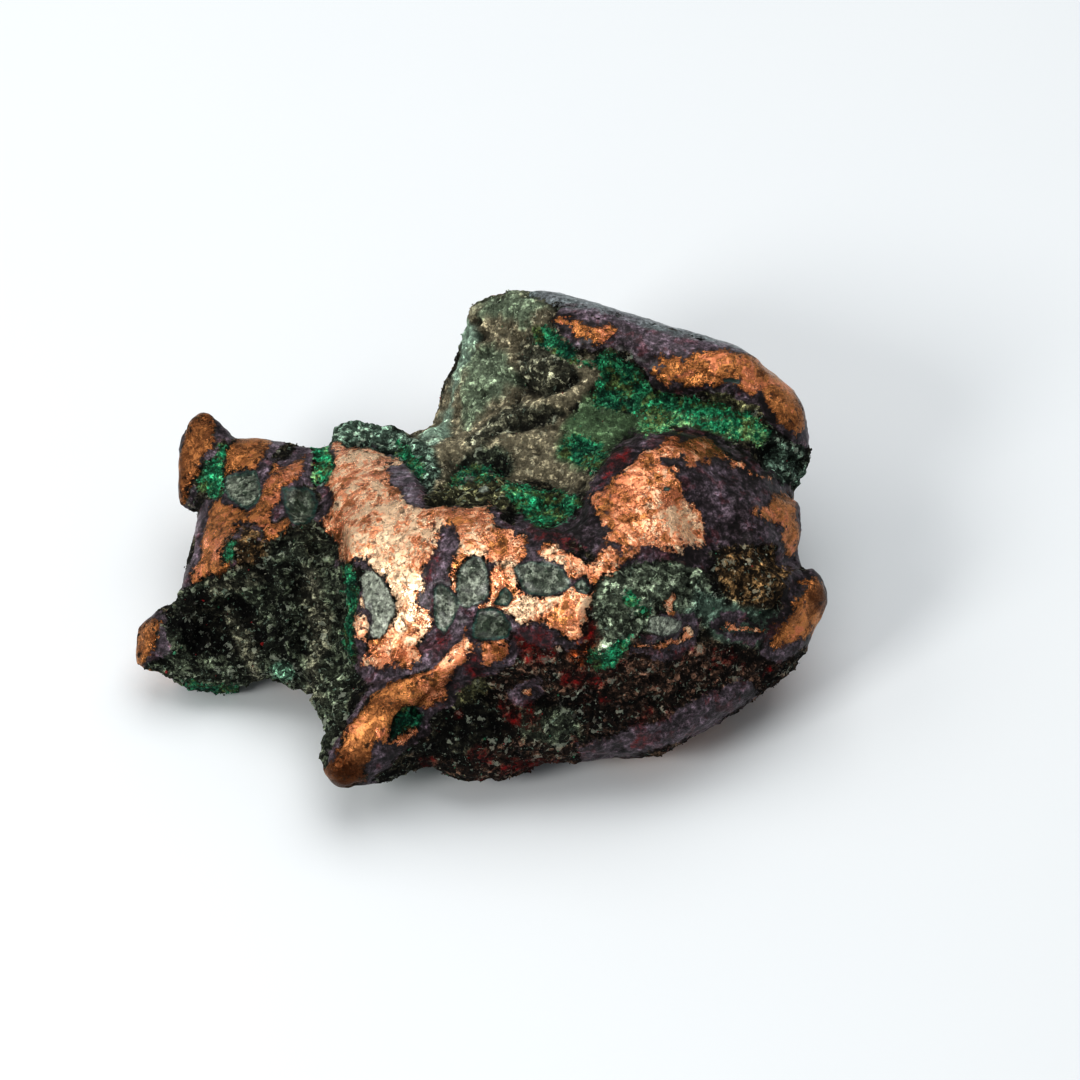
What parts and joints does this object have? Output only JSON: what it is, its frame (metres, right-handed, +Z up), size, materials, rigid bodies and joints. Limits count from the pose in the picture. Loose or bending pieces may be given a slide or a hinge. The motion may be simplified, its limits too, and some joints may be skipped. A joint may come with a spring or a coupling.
{
  "type": "native copper nugget",
  "caption": "Hand-sized native copper nugget: worn bare copper over dark oxide, malachite crust and dusty rock, resting on flat spots.",
  "frame": {"origin": "on the table, under the middle of the nugget's box", "axes": "+X along the nugget, from its forked arm to its knob; +Y away from its polished face; +Z up"},
  "size_m": [0.0686, 0.0527, 0.0251],
  "materials": {
    "native_copper": "worn bare copper in patches between purple-black oxide, green malachite and grey-brown rock crust"
  },
  "bodies": {
    "root": {"copper_nugget": "native_copper"}
  },
  "joints": []
}
